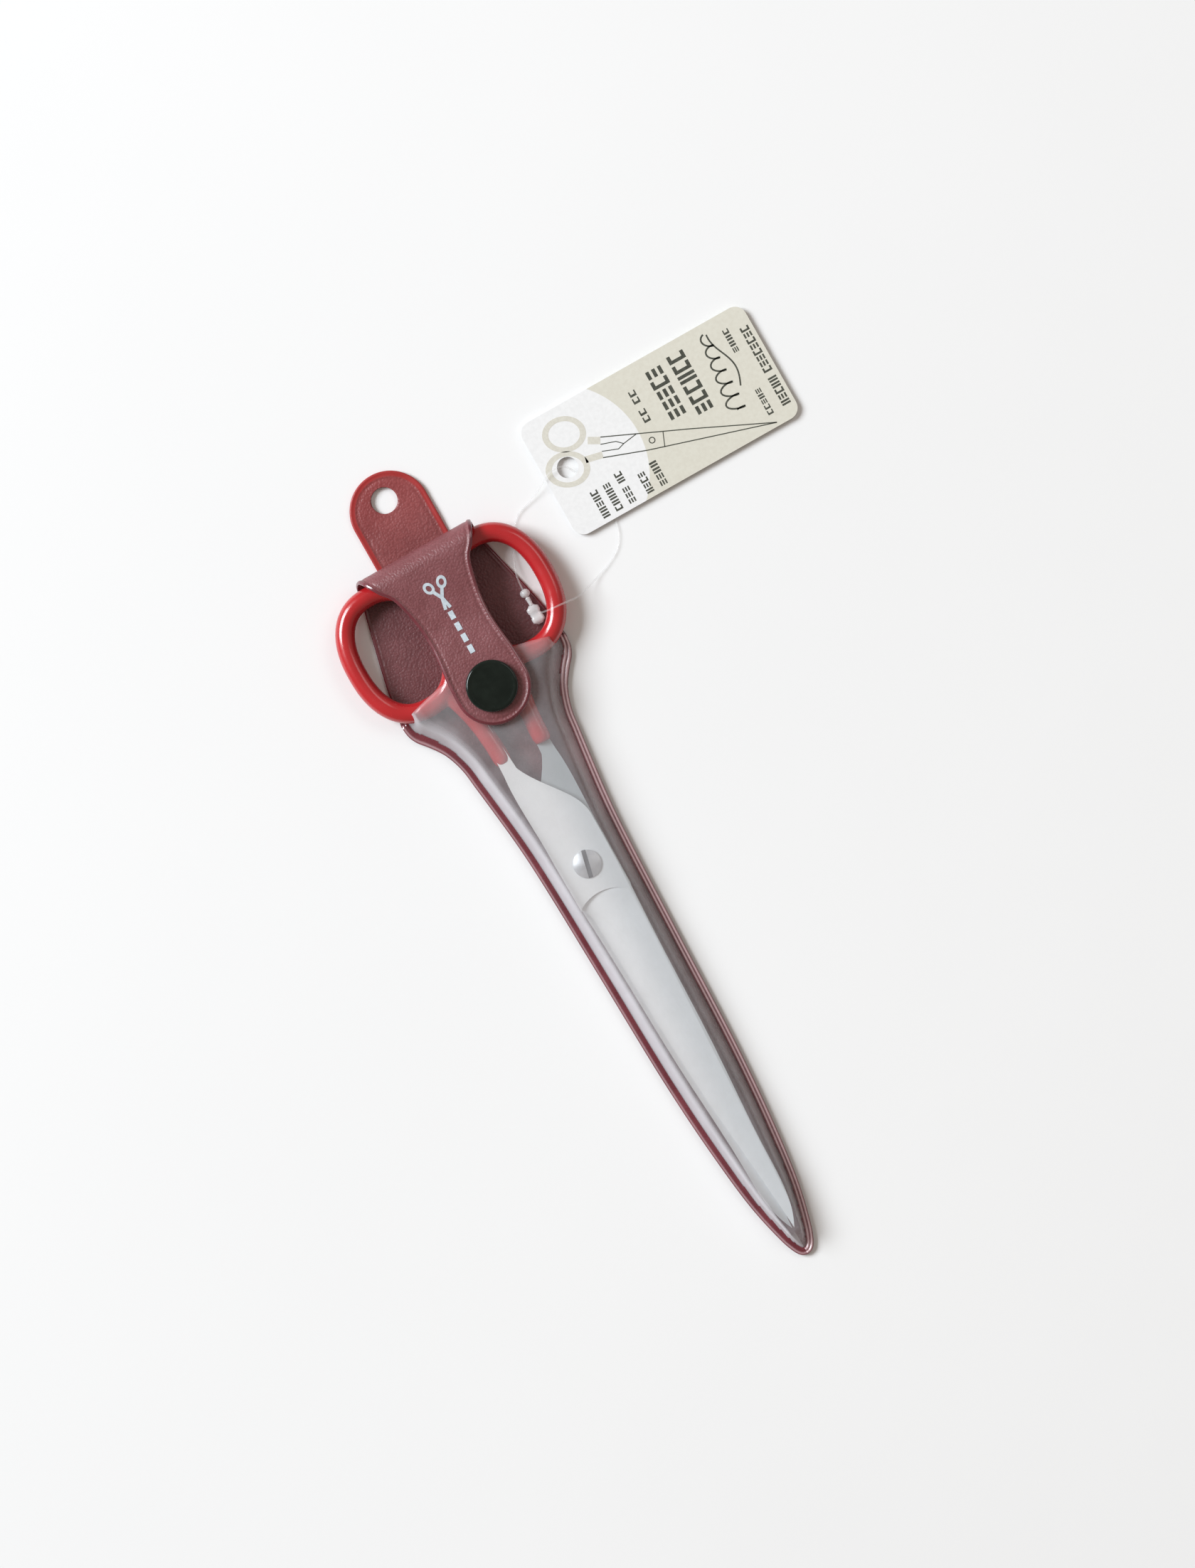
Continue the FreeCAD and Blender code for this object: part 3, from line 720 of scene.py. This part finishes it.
def loop_fittings():
    """The moulded lock with its collar and ribs, and the ball with its tapered arm."""
    low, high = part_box("loop_lock")
    middle = (low + high) / 2
    size = high - low
    body = []
    steps = 14
    for k in range(steps + 1):
        u = k / steps
        y = low.y + size.y * u
        waist = 1.0 - 0.16 * math.cos(2 * math.pi * u) ** 2 - 0.10 * math.sin(6 * math.pi * u) ** 2
        end = min(1.0, 4.5 * min(u, 1 - u) + 0.45)
        body.append((Vector((middle.x, y, middle.z)), 0.5 * waist * end))
    verts, faces = [], []
    around = 24
    for place, share in body:
        for k in range(around):
            turn = 2 * math.pi * k / around
            x = squared(math.cos(turn), LOCK_CORNER) * size.x * share
            z = squared(math.sin(turn), LOCK_CORNER) * size.z * share
            verts.append(place + Vector((x, 0, z)))
    for i in range(len(body) - 1):
        for k in range(around):
            n = (k + 1) % around
            faces.append([i * around + k, i * around + n, (i + 1) * around + n, (i + 1) * around + k])
    faces.append(list(range(around)))
    faces.append([(len(body) - 1) * around + k for k in range(around)][::-1])
    lock = add_mesh("loop_lock_body", verts, faces, [MOULDED])
    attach(lock, "rear_half")
    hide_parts("loop_lock")

    radius = (BEAD[1].x - BEAD[0].x) / 2
    centre = Vector(((BEAD[0].x + BEAD[1].x) / 2, 0, (BEAD[0].z + BEAD[1].z) / 2))
    ball_y = BEAD[1].y - 0.85 * radius
    points, radii = [], []
    rounds = 12
    for k in range(rounds + 1):
        turn = math.pi * k / rounds
        reach = 0.82 * radius * math.cos(turn)
        points.append(Vector((centre.x, ball_y + reach, centre.z)))
        radii.append(max(0.32 * MM, 0.98 * radius * math.sin(turn) ** 0.8))
    arm_start = points[-1].y
    arm_steps = 10
    for k in range(1, arm_steps + 1):
        u = k / arm_steps
        points.append(Vector((centre.x, arm_start + (high.y - ARM_GAP - arm_start) * u, centre.z)))
        rib = ARM_RIB * math.sin(u * 4 * math.pi) ** 2
        radii.append(ARM_RADIUS - ARM_TAPER * u + rib)
    verts, faces = tube(points, radii, 20)
    bead = add_mesh("loop_bead_body", verts, faces, [MOULDED])
    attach(bead, "rear_half")
    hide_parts("loop_bead")
    return lock, bead


lock, bead = loop_fittings()


# ---- sheath ----

NOSE = -126.0
SHEATH_SIDE = [
    (0, -126), (1.4, -125.6), (2.5, -124.6), (3.9, -121.8), (5.1, -118), (7.6, -107), (9.8, -89),
    (11.5, -66), (12.7, -30), (13.8, 2), (14.6, 14), (16.9, 34), (17.7, 40), (19.8, 46),
    (23.0, 50.6), (25.0, 53), (26.2, 55.6), (26.6, 59),
]
BACK_TOP = [(26.6, 59), (25.2, 68.6), (19.2, 94.6)]
WELD_WIDTH = 2.1
MOUTH_RISE = 5.3
FLANGE = 1.28


PANEL_GAUGE = 0.35
WELD_SOLE = 0.92


def rows_from(start, end, count, crowd=1.7):
    """Even steps drawn closer together toward the start."""
    return start + (end - start) * np.linspace(0, 1, count) ** crowd


def two_ridges(depth, x, height):
    """The pair of rounded ridges that the welding bar leaves, pressed flatter on the left."""
    pair = ridge(depth, 0.55, 0.30) + 0.9 * ridge(depth, 1.50, 0.30)
    return height * pair * np.where(x < 0, 0.5, 1.0)


def rubbed(depth, x):
    """Painted highlights on the weld ridges: two fine pale lines, plainest on the right."""
    outer = ridge(depth, 0.50, 0.27)
    inner = ridge(depth, 1.45, 0.27)
    return np.where(x < 0, 0.40 * outer, outer + 0.9 * inner)


def crest_height(y):
    """Top of the clear panel along its middle: low over the blades, higher over the screw and grips."""
    tip = smoothstep((y + 123.8) / 6.5)
    blade = 7.15 + 0.25 * smoothstep((y + 110) / 80)
    screw = 0.85 * smoothstep((y + 16) / 12)
    mouth = 0.25 * smoothstep((y - 38) / 12)
    return FLANGE + (blade + screw + mouth - FLANGE) * tip


def sheath_front():
    """The clear panel: a flat welded rim, steep walls drawn over the scissors and a soft crown."""
    side = curve_through(SHEATH_SIDE)
    outline = SheetOutline(side)
    rows = rows_from(NOSE + 0.02, 59, 300)
    x, y = sheet_grid(outline, rows)
    half = outline.half(y)
    lift = MOUTH_RISE * (1 - (np.abs(x) / np.maximum(half, 0.1)) ** 1.8)
    depth = outline.depth(x, y)
    y_moved = y + lift * smoothstep((y - 40) / 19)
    foot = half - WELD_WIDTH
    run = np.minimum(3.4, 0.30 * foot + 0.4)
    wall = smoothstep((depth - WELD_WIDTH) / np.maximum(run, 0.1)) ** 0.85
    crown = 0.45 * (1 - (np.abs(x) / np.maximum(half, 0.1)) ** 2)
    creases = 0.10 * uneven(x, y_moved * 0.45, 3, 9.0) + 0.05 * uneven(x, y_moved, 8, 3.2)
    crest = crest_height(y_moved) + crown + creases
    z = FLANGE + two_ridges(depth, x, 0.25) + (crest - FLANGE) * wall
    top = np.stack([x, y_moved, z], 2)
    gauge = np.where(depth < WELD_WIDTH, FLANGE - WELD_SOLE, PANEL_GAUGE)[..., None]
    facing = normals_of(top)
    bottom = top - facing * gauge
    bottom[..., 2] = np.maximum(bottom[..., 2], VINYL / MM + 0.01)
    centre = cell_centres(depth)
    index = np.where(centre < WELD_WIDTH, 2, 0)
    under = np.where(centre < WELD_WIDTH, 2, 1)
    # the sheet also carries the painted ridge highlights as a shade
    thing = solid_sheet(
        "clear_front", top, bottom, [CLEAR_SKIN, FROSTED, WELD], index, under,
        # painted light: walls on the left, toward the lamp, are milkier than those on the right
        steep=(1 - np.abs(facing[..., 2])) * np.where(x < 0, 1.9, 0.3), rubbed=rubbed(depth, x),
    )
    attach(thing, "sheath")
    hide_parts("sheath_front_panel")
    return thing


def sheath_back():
    """The grained back sheet, with its weld showing where the clear panel ends."""
    side = np.vstack([curve_through(SHEATH_SIDE), curve_through(BACK_TOP, 8)[1:]])
    outline = SheetOutline(side)
    rows = np.concatenate([rows_from(NOSE + 0.02, 50, 150), np.linspace(50.5, 94.6, 110)])
    x, y = sheet_grid(outline, rows)
    depth = outline.depth(x, y)
    shown = smoothstep((y - 57) / 4)
    rim = two_ridges(depth, x, 0.20) * shown
    sag = 0.06 * uneven(x, y, 21, 11.0) * shown * smoothstep((depth - 2) / 4)
    z = VINYL / MM - 0.04 + rim + sag
    z = np.where(depth < 0.12, z - 0.12, z)
    top = np.stack([x, y, z], 2)
    bottom = np.stack([x, y, np.where(depth < 0.3, 0.16 * (1 - depth / 0.3), 0.0)], 2)
    centre = cell_centres(depth)
    index = (centre < 0.9).astype(int)
    thing = solid_sheet("grained_back", top, bottom, [GRAIN, WELD], index)
    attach(thing, "sheath")
    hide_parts("sheath_back_panel")
    return thing


# ---- strap ----

FOLD_R = 5.15
FOLD_MIDDLE = ((FOLD_AXIS.y - PIVOT_Y) / MM, FOLD_AXIS.z / MM)
STRAP_X = 1.4
FOLD_RUN = math.pi * FOLD_R
STRAP_END = FOLD_RUN + 49.4
STRAP_SIDE = [
    (19.1, 0), (18.6, 5.5), (18.0, 9.5), (16.9, 13.4), (14.9, 17.0), (12.6, 19.9), (11.2, 24.0),
    (9.9, 30.5), (9.5, 37.0), (10.0, 43.5), (10.6, 48.4), (10.8, 53.4),
]
LOBE = 10.8
SAG = 0.75                   # the flap dips between the fold and the snap
SAG_RUN = 31.0
DROOP = 1.1                  # and its round end bends down
DROOP_FROM = 44.0
DROOP_RUN = 7.0


def strap_centre(s, lateral, height):
    """A point of the strap in space from its flat place: along it, across it and off it."""
    turn = np.clip(s / FOLD_R, 0, math.pi)
    on_flap = np.maximum(s - FOLD_RUN, 0)
    sag = -SAG * np.sin(np.clip(on_flap / SAG_RUN, 0, 1) * math.pi) ** 2
    droop = -DROOP * np.clip((on_flap - DROOP_FROM) / DROOP_RUN, 0, 1) ** 2
    flap = s > FOLD_RUN
    y = FOLD_MIDDLE[0] + FOLD_R * np.sin(turn) - on_flap
    z = FOLD_MIDDLE[1] - FOLD_R * np.cos(turn) + np.where(flap, sag + droop, 0)
    out_y = np.where(flap, 0, np.sin(turn))
    out_z = np.where(flap, 1, -np.cos(turn))
    x = STRAP_X * smoothstep(s / FOLD_RUN) + lateral
    return np.stack([x, y + out_y * height, z + out_z * height], -1)


def strap():
    """Fold and flap as one sheet, worked out flat and then bent up and over the rings."""
    side = np.vstack([curve_through(STRAP_SIDE), quarter_round(LOBE, STRAP_END, 24)])
    outline = SheetOutline(side)
    rows = STRAP_END - rows_from(0.02, STRAP_END, 210, 1.45)
    rows = rows[::-1]
    x, s = sheet_grid(outline, rows)
    depth = outline.depth(x, s)
    clear_of_floor = smoothstep((s - 3.0) / 5.0)
    rim = (ridge(depth, 0.75, 0.35, 0.20) - ridge(depth, 1.6, 0.4, 0.10)) * clear_of_floor
    softly = 0.07 * uneven(x, s, 33, 9.0) * smoothstep((depth - 1.5) / 3)
    softly = softly * smoothstep((s - FOLD_RUN) / 8)
    half = VINYL / MM / 2
    round_edge = np.where(depth < 0.3, -0.22 * (1 - depth / 0.3) ** 2, 0)
    top = strap_centre(s, x, half - 0.05 + rim + softly + round_edge)
    bottom = strap_centre(s, x, -half - round_edge)
    flat = np.stack([x.ravel() * MM, s.ravel() * MM, 0 * x.ravel()], 1)
    centre = cell_centres(depth)
    index = (centre < 0.85).astype(int)
    thing = solid_sheet("snap_strap", top, bottom, [STRAP_GRAIN, WELD], index, flat=flat)
    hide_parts("strap_flap", "strap_fold")
    return thing


def bend_with_fold(thing):
    """Bakes the piece's placement into its mesh and leaves its shape as it is."""
    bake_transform(thing)


def bar(x0, y0, x1, y1):
    """The corners of an upright rectangle."""
    return [(x0, y0), (x1, y0), (x1, y1), (x0, y1)]


def ring_cells(cx, cy, rx, ry, inner, steps=40, turn=0.0):
    """A ring as a strip of four-sided cells."""
    cells = []
    for k in range(steps):
        corners = []
        for radius, step in ((1.0, k), (1.0, k + 1), (inner, k + 1), (inner, k)):
            a = 2 * math.pi * step / steps
            px, py = rx * radius * math.cos(a), ry * radius * math.sin(a)
            corners.append((
                cx + px * math.cos(turn) - py * math.sin(turn),
                cy + px * math.sin(turn) + py * math.cos(turn),
            ))
        cells.append(corners)
    return cells


def stroke_cells(points, width):
    """A line of even width as a strip of four-sided cells."""
    cells = []
    for (x0, y0), (x1, y1) in zip(points, points[1:]):
        length = math.hypot(x1 - x0, y1 - y0)
        nx, ny = -(y1 - y0) / length * width / 2, (x1 - x0) / length * width / 2
        cells.append([(x0 + nx, y0 + ny), (x1 + nx, y1 + ny), (x1 - nx, y1 - ny), (x0 - nx, y0 - ny)])
    return cells


def strap_print():
    """A dashed cutting line with a small pair of open scissors at its end, in pale ink."""
    start = FOLD_RUN + 5.0
    cells = []
    dash, gap, wide = 2.4, 1.2, 1.5
    first = start + 9.5
    for k in range(4):
        low = first + k * (dash + gap)
        for j in range(3):
            piece = low + dash * j / 3
            cells.append(bar(-wide / 2, piece, wide / 2, piece + dash / 3))
    hub = start + 5.2
    for sign in (-1, 1):
        cells += ring_cells(sign * 2.0, start + 1.2, 1.45, 1.85, 0.5, 28, sign * 0.35)
        shank = [(sign * 1.45, start + 2.5), (0, hub), (-sign * 0.75, hub + 3.4)]
        cells += stroke_cells(shank, 0.95)
    lift = VINYL / MM / 2 + 0.03
    verts, faces = [], []
    for corners in cells:
        low, high = [], []
        for layer, height in ((low, lift - 0.08), (high, lift + 0.015)):
            for x, s in corners:
                point = strap_centre(np.array(s), np.array(x), height)
                layer.append(len(verts))
                verts.append(Vector((point[0] * MM, point[1] * MM + PIVOT_Y, point[2] * MM)))
        n = len(corners)
        faces.append(high)
        faces.append(low[::-1])
        for i in range(n):
            j = (i + 1) % n
            faces.append([low[i], low[j], high[j], high[i]])
    thing = add_mesh("strap_print", verts, faces, [PALE_INK], smooth=False)
    return thing


# ---- hang tab ----

TAB_HALF = (TAB[1].x - TAB[0].x) / 2 / MM
TAB_MIDDLE = (TAB[1].x + TAB[0].x) / 2 / MM
TAB_LENGTH = (TAB[1].y - PIVOT_Y) / MM
TAB_FREE = 95.4
HOLE = frame["record"]["mounts"][0]


def hang_tab():
    """The tab with its round end, a welded edge, a groove inside it and the hole cut through."""
    straight = [(TAB_HALF, TAB_FREE), (TAB_HALF, TAB_LENGTH - TAB_HALF)]
    outline = SheetOutline(straight + quarter_round(TAB_HALF, TAB_LENGTH, 30))
    span = TAB_LENGTH - TAB_FREE
    rows = TAB_LENGTH - rows_from(0.02, span, 110, 1.5)
    rows = rows[::-1]
    x, y = sheet_grid(outline, rows)
    depth = outline.depth(x, y)
    free = smoothstep((y - 98) / 10)
    rim = ridge(depth, 0.5, 0.4, 0.10) - ridge(depth, 2.2, 0.35, 0.12)
    wave = 0.10 * uneven(x, y, 41, 9.0)
    ground = 0.04 + 0.30 * free + 0.18 * free * smoothstep((y - 112) / 12)
    edge = np.where(depth < 0.3, 0.2 * (1 - depth / 0.3) ** 2, 0)
    z = ground + 0.72 + rim + wave * free - edge
    top = np.stack([x + TAB_MIDDLE, y, z], 2)
    bottom = np.stack([x + TAB_MIDDLE, y, ground + edge + 0.0 * z], 2)
    thing = solid_sheet("grained_tab", top, bottom, [TAB_GRAIN])

    centre = Vector(HOLE["pos_m"])
    radius = HOLE["dims"]["r_mm"] * MM
    drill = lathe("drill", [(0, -4), (radius / MM, -4), (radius / MM, 4), (0, 4)], TAB_GRAIN, centre, 72)
    cut = thing.modifiers.new("hole", "BOOLEAN")
    cut.operation = "DIFFERENCE"
    cut.solver = "EXACT"
    cut.object = drill
    apply_modifiers(thing)
    bpy.data.objects.remove(drill)
    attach(thing, "sheath")
    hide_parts("hang_tab")
    return thing


# ---- snap cap ----

CAP_THICK = 1.8
CAP_ROUND = 0.75
RIVET = (1.0, 0.9)


def snap_cap():
    """A round-edged black cap with a faint dish in its top and a rivet under it."""
    middle = (CAP[0] + CAP[1]) / 2
    middle.z = 0
    low = CAP[1].z / MM - CAP_THICK
    top = CAP[1].z / MM
    r = (CAP[1].x - CAP[0].x) / 2 / MM
    stem, drop = RIVET
    profile = [(0, low - drop), (stem, low - drop), (stem, low), (r - 0.6, low), (r - 0.15, low + 0.08)]
    for k in range(13):
        turn = -0.5 + (0.5 * math.pi + 0.75) * k / 12
        profile.append((
            r - CAP_ROUND + CAP_ROUND * math.cos(turn),
            top - CAP_ROUND + CAP_ROUND * math.sin(turn),
        ))
    profile += [(r - 1.25, top - 0.10), (r - 1.5, top - 0.17), (r - 2.1, top - 0.19), (r * 0.4, top - 0.16)]
    profile.append((0, top - 0.15))
    thing = lathe("black_cap", profile, SNAP_BLACK, middle, 128)
    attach(thing, "strap")
    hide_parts("snap_cap")
    return thing


# ---- grips ----

RING_X = 16.8
RING_Y = 77.5
RING_HALF_X = 13.1
RING_HALF_Y = 17.7
RING_POWER = 2.3
RING_LEVEL = 4.4
RING_TUBE = 2.85
NECK_TUBE = 2.65
MELT = 0.42
NECK = [(6.3, 35.6), (6.5, 42), (7.6, 51), (10.6, 61.4)]


def grip(sign, body, node):
    """The dipped coat of one ring with its neck, melted together where they meet."""
    ring = []
    steps = 120
    for k in range(steps):
        turn = 2 * math.pi * k / steps
        x = RING_HALF_X * squared(math.cos(turn), 2 / RING_POWER)
        y = RING_HALF_Y * squared(math.sin(turn), 2 / RING_POWER)
        ring.append(at(sign * (RING_X + x), RING_Y + y, RING_LEVEL))
    line = curve_through([(sign * x, y) for x, y in NECK], 10)
    neck = [at(x, y, RING_LEVEL) for x, y in line]
    swell = [NECK_TUBE * MM * (0.80 + 0.20 * min(1.0, k / 2.5)) for k in range(len(neck))]
    loops = joined(
        tube(ring, [RING_TUBE * MM] * steps, 24, closed=True),
        tube(neck, swell, 24),
    )
    thing = add_mesh(node + "_coat", loops[0], loops[1], [RUBBER])
    remesh = thing.modifiers.new("melt", "REMESH")
    remesh.mode = "VOXEL"
    remesh.voxel_size = MELT * MM
    relax = thing.modifiers.new("relax", "SMOOTH")
    relax.factor = 0.5
    relax.iterations = 10
    apply_modifiers(thing)
    thing.data.materials.clear()
    thing.data.materials.append(RUBBER)
    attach(thing, body)
    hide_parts(node)
    return thing


# ---- swing tag print ----

def card_print(name, cells, material, level=0.0):
    """Ink shapes as plates a few hundredths of a millimetre proud of the card."""
    low_z = CARD[1].z - 0.01 * MM
    high_z = CARD[1].z + (0.02 + level) * MM
    verts, faces = [], []
    for corners in cells:
        n = len(corners)
        start = len(verts)
        for z in (low_z, high_z):
            for x, y in corners:
                place = at(x, y)
                verts.append(Vector((place.x, place.y, z)))
        faces.append([start + n + i for i in range(n)])
        faces.append([start + i for i in range(n)][::-1])
        for i in range(n):
            j = (i + 1) % n
            faces.append([start + i, start + j, start + n + j, start + n + i])
    thing = add_mesh(name, verts, faces, [material], smooth=False)
    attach(thing, "tag")
    return thing


def filler_row(x, low, high, tall, pitch, seed):
    """A row of made-up marks where the card has type: pairs of bars, feet and short stacks."""
    random = np.random.default_rng(seed)
    stroke = 0.30 * pitch
    cells = []
    y = low
    while y + 0.8 * pitch <= high:
        left, right = x - tall / 2, x + tall / 2
        end = y + 0.76 * pitch
        kind = random.integers(3)
        if kind < 2:
            cells.append(bar(left, y, right, y + stroke))
        if kind == 0:
            cells.append(bar(left, end - stroke, right, end))
        if kind == 1:
            cells.append(bar(right - 0.2 * tall, y + stroke, right, end))
            cells.append(bar(left, y + stroke, left + 0.2 * tall, end))
        if kind == 2:
            for k in range(3):
                foot = left + tall * (0.04 + 0.36 * k)
                cells.append(bar(foot, y, foot + 0.2 * tall, end))
        y += pitch * (1.7 if random.random() < 0.12 else 1.0)
    return cells


SCRIPT_LOOPS = 6
CARD_SCRIPT = (99.4, 89.4, 23.0)


def tag_art():
    """The card's print: a scissors picture, rows of made-up marks and a looping line."""
    rings = ring_cells(53.7, 108.1, 6.2, 5.1, 0.72, 48, -0.38)
    rings += ring_cells(49.8, 99.0, 6.3, 5.1, 0.72, 48, -0.40)
    rings += stroke_cells([(58.6, 103.3), (61.7, 101.6)], 2.1)
    rings += stroke_cells([(55.4, 98.9), (60.3, 97.8)], 1.9)
    card_print("tag_pictogram_rings", rings, BEIGE_INK)
    tip = (107.4, 81.6)
    lines = stroke_cells([(62.2, 102.4), (71.3, 98.3), (85.3, 92.0), tip], 0.3)
    lines += stroke_cells([(60.0, 97.0), (72.1, 92.6), (89.4, 87.2), tip], 0.3)
    lines += stroke_cells([(61.2, 100.6), (65.4, 99.2), (67.0, 97.6), (65.0, 97.0), (60.6, 98.7)], 0.25)
    lines += stroke_cells([(67.0, 97.6), (71.3, 98.2)], 0.25)
    lines += stroke_cells([(76.6, 91.1), (78.2, 95.0)], 0.25)
    lines += ring_cells(74.4, 94.5, 0.95, 0.95, 0.7, 24)
    rows = [
        (52.9, 81.9, 91.0, 2.2, 1.75, 11), (57.0, 81.9, 91.4, 2.2, 1.75, 12),
        (61.3, 81.9, 93.3, 2.2, 1.75, 13), (67.0, 81.9, 88.6, 2.2, 1.65, 14),
        (71.4, 81.9, 90.6, 2.2, 1.95, 15), (76.0, 99.6, 113.0, 2.0, 2.2, 16),
        (84.3, 96.6, 113.0, 5.2, 3.2, 17), (91.7, 94.2, 113.6, 5.2, 3.2, 18),
        (107.2, 84.4, 92.8, 1.7, 1.7, 19), (107.4, 104.4, 112.8, 1.7, 1.9, 20),
        (112.4, 84.7, 110.6, 2.6, 1.85, 21),
    ]
    for x, low, high, tall, pitch, seed in rows:
        lines += filler_row(x, low, high, tall, pitch, seed)
    wave, swash = [], []
    script_x, script_y, script_run = CARD_SCRIPT
    for k in range(91):
        u = k / 90
        turn = 2 * SCRIPT_LOOPS * math.pi * u
        wave.append((
            script_x + 2.0 * u + (2.6 - 1.3 * u) * math.sin(turn),
            script_y + script_run * u + 0.9 * math.sin(turn + 1.9),
        ))
    for k in range(31):
        u = k / 30
        swash.append((103.6 + 1.5 * math.sin(1.6 * math.pi * u), 95.6 + 17.2 * u))
    lines += stroke_cells(wave, 0.5)
    lines += stroke_cells(swash, 0.45)
    card_print("tag_print_dark", lines, DARK_INK, 0.006)


def finish_cad_nodes():
    """Better materials for the pieces that keep their CAD shape."""
    looks = {
        "front_blade": STEEL, "rear_blade": REAR_STEEL, "pivot_screw": SCREW, "pivot_nut": SCREW,
        "snap_socket": SNAP_METAL, "snap_stud": SNAP_METAL, "snap_post": SNAP_METAL,
        "swing_tag": BOARD,
    }
    for node, material in looks.items():
        thing = bpy.data.objects[node]
        for entry in thing.material_slots:
            entry.material = material
        if not thing.material_slots:
            thing.data.materials.append(material)


# ---- light and floor ----

def lamp(name, place, aim, size, power, tint):
    data = bpy.data.lights.new(name, "AREA")
    data.shape = "RECTANGLE"
    data.size, data.size_y = size
    data.energy = power
    data.color = tint
    thing = bpy.data.objects.new(name, data)
    thing.location = place
    thing.rotation_euler = (aim - place).to_track_quat("-Z", "Y").to_euler()
    bpy.context.collection.objects.link(thing)
    return thing


WINDOW_AT = (-3.35, 0.95, 2.6)          # right, up and off the table, seen as in the picture
WINDOW_POWER = 239.0
REFLECTOR_AT = (1.1, 1.2, 1.9)
REFLECTOR_POWER = 6.0
ROOM_STRENGTH = 0.28
TABLE_REACH = 3.0


def studio():
    """One large window high on the left, a weak reflector, a warm room and a pale table."""
    right = Vector((math.cos(ROLL), -math.sin(ROLL), 0))
    up = Vector((math.sin(ROLL), math.cos(ROLL), 0))
    aim = VIEW_CENTRE

    def from_aim(aside, along, high):
        return aim + right * aside + up * along + Vector((0, 0, high))

    lamp("window", from_aim(*WINDOW_AT), aim, (2.3, 2.0), WINDOW_POWER, (0.96, 1.015, 1.06))
    lamp("reflector", from_aim(*REFLECTOR_AT), aim, (1.4, 0.8), REFLECTOR_POWER, (1.0, 0.99, 0.98))
    world = bpy.data.worlds.new("studio")
    world.use_nodes = True
    back = world.node_tree.nodes["Background"]
    back.inputs["Color"].default_value = (1.0, 0.87, 0.76, 1)
    back.inputs["Strength"].default_value = ROOM_STRENGTH
    bpy.context.scene.world = world

    s = Shader("pale_table")
    s.colour(s.mix(s.ramp(s.noise(3, 3), 0.3, 0.7), (0.885, 0.885, 0.885), (0.90, 0.90, 0.90)))
    s.roughness(s.ramp(s.noise(40, 3), 0.3, 0.7, 0.7, 0.8))
    s.bump(s.noise(500, 3), 0.00003, 0.3)
    mesh = bpy.data.meshes.new("table")
    level = -0.02 * MM
    corners = [(TABLE_REACH * x, TABLE_REACH * y, level) for x, y in ((-1, -1), (1, -1), (1, 1), (-1, 1))]
    mesh.from_pydata(corners, [], [(0, 1, 2, 3)])
    mesh.materials.append(s.material)
    table = bpy.data.objects.new("table", mesh)
    bpy.context.collection.objects.link(table)


sheath_back()
sheath_front()
bend_with_fold(strap())
bend_with_fold(strap_print())
hang_tab()
snap_cap()
grip(-1, "front_half", "front_grip")
grip(1, "rear_half", "rear_grip")
tag_art()
finish_cad_nodes()
studio()

bpy.context.scene.view_settings.view_transform = "Standard"
